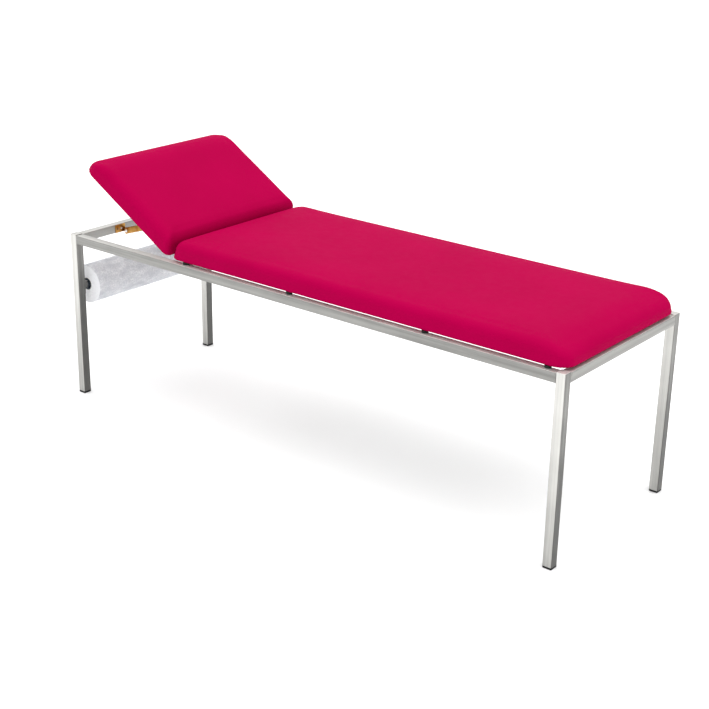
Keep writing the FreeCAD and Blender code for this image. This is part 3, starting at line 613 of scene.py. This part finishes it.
def gather(mesh, length, width):
    """Small folds low on the far corners, where the cover is gathered and turned under."""
    for vertex in mesh.vertices:
        x, y, z = vertex.co
        core = Vector((length - FAR_CORNER, math.copysign(width / 2 - FAR_CORNER, y), z))
        out = vertex.co - core
        if out.x <= 0 or out.y * y <= 0 or out.length < FAR_CORNER / 2:
            continue
        around = math.atan2(abs(out.y), abs(out.x))
        low = max(0.0, 1 - z / GATHER_HEIGHT) ** 1.5
        middle = math.sin(2 * around) ** 2
        vertex.co += out.normalized() * (GATHER_DEPTH * low * middle * math.sin(around * GATHER_COUNT))


def cushion(name, far, body, place, away, split_corner, nodes):
    """One finished pad cover: simulated, subdivided and turned into place.

    It reaches from the split to `far` from the hinge line, towards +X or -X as `away` is 1 or -1.
    """
    lowest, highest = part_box("body_pad_cover")
    low = lowest.z - HINGE.z
    thick = highest.z - lowest.z
    width = highest.y - lowest.y - 2 * SHRINK
    near = SPLIT_GAP + low * SPLIT_LEAN
    length = far - near - SHRINK
    piece = linked(name, cushion_mesh(name, length, width, thick - SHRINK, split_corner))
    piece.data.materials.append(LEATHERETTE)
    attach(piece, body)
    inflate(piece, thick)
    subdivide(piece)
    piece.data.name = name
    gather(piece.data, length, width)
    flip = Matrix.Diagonal((away, 1, 1, 1))
    piece.data.transform(place @ flip @ Matrix.Translation((near, 0, low)))
    outward(piece.data)
    piece.data.shade_smooth()
    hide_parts(*nodes)


def build_cushions():
    """The body pad and the head pad, which reaches a little past its rest buffers."""
    body_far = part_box("body_pad_cover")[1].x - HINGE.x
    low_corner, high_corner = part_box("head_rest_buffers")
    buffers_middle = (low_corner + high_corner) / 2
    head_far = (buffers_middle - HINGE).length + PAST_REST_BUFFERS
    cushion("body_cushion", body_far, "frame", BODY_PLACE, 1, FAR_CORNER,
            ("body_pad_cover", "body_pad_foam"))
    cushion("head_cushion", head_far, "head_section", HEAD_PLACE, -1, HEAD_SPLIT_CORNER,
            ("head_pad_cover", "head_pad_foam"))


# ---------------------------------------------------------------- stage, lights and camera

FLOOR_RADIUS = 90
FLOOR_SIDES = 96
WHITE = (1, 1, 1, 1)
BRIGHT_SIDE = Vector((0.06, -0.08, 1.0)).normalized()
SKY_FOCUS = 2.0
SKY_STRENGTHS = (0.50, 1.25)
SUN_HEADING = Vector((0.0, 0.03, -1.0))
SUN_STRENGTH = 1.9
SUN_SPREAD = math.radians(90)
VIEW_AZIMUTH = math.radians(38.475)
VIEW_ELEVATION = math.radians(21.215)
VIEW_ROLL = math.radians(1.0)
VIEW_DISTANCE = 4.60
AIM = Vector((0.038, 0.0, 0.298))
FOCAL_LENGTH = 72.1
SENSOR_WIDTH = 36.0
FARTHEST_SEEN = 100.0


def floor():
    """A disc so wide that its edge looks like a level horizon."""
    turns = [2 * math.pi * i / FLOOR_SIDES for i in range(FLOOR_SIDES)]
    edge = [(FLOOR_RADIUS * math.cos(turn), FLOOR_RADIUS * math.sin(turn), 0) for turn in turns]
    mesh = mesh_from("floor", edge, [list(range(FLOOR_SIDES))])
    mesh.materials.append(floor_material())
    linked("floor", mesh)


def surroundings():
    """An even studio sky, brightest almost straight above and dimmest below."""
    world = bpy.data.worlds.new("studio")
    bpy.context.scene.world = world
    world.use_nodes = True
    nodes = Nodes(world.node_tree)
    background = nodes.first("BACKGROUND")
    background.inputs["Color"].default_value = WHITE
    direction = nodes.add("ShaderNodeTexCoord").outputs["Generated"]
    facing = nodes.add("ShaderNodeVectorMath", {"operation": "DOT_PRODUCT"})
    nodes.put(facing.inputs[0], direction)
    nodes.put(facing.inputs[1], BRIGHT_SIDE)
    share = nodes.remap(facing.outputs["Value"], to=(0.0, 1.0), of=(-1.0, 1.0))
    focus = nodes.maths("POWER", share, SKY_FOCUS)
    nodes.put(background.inputs["Strength"], nodes.remap(focus, to=SKY_STRENGTHS))


def sun():
    """Broad overhead daylight, so that the floor is as bright far away as it is close by."""
    data = bpy.data.lights.new("overhead", "SUN")
    data.energy = SUN_STRENGTH
    data.angle = SUN_SPREAD
    lamp = linked("overhead", data)
    lamp.rotation_mode = "QUATERNION"
    lamp.rotation_quaternion = SUN_HEADING.to_track_quat("-Z", "Y")


def camera():
    """Close to the photo's viewpoint, off the near foot corner of the couch, with no lens shift."""
    level = math.cos(VIEW_ELEVATION)
    back = Vector((math.sin(VIEW_AZIMUTH) * level, -math.cos(VIEW_AZIMUTH) * level,
                   math.sin(VIEW_ELEVATION)))
    data = bpy.data.cameras.new("camera")
    data.lens = FOCAL_LENGTH
    data.sensor_width = SENSOR_WIDTH
    data.clip_end = FARTHEST_SEEN
    viewer = linked("camera", data)
    facing = (-back).to_track_quat("-Z", "Y").to_matrix().to_4x4()
    viewer.matrix_world = (Matrix.Translation(AIM + back * VIEW_DISTANCE) @ facing
                           @ Matrix.Rotation(VIEW_ROLL, 4, "Z"))
    bpy.context.scene.camera = viewer
    bpy.context.scene.view_settings.view_transform = "Standard"


dress_cad_nodes()
build_cushions()
floor()
surroundings()
sun()
camera()
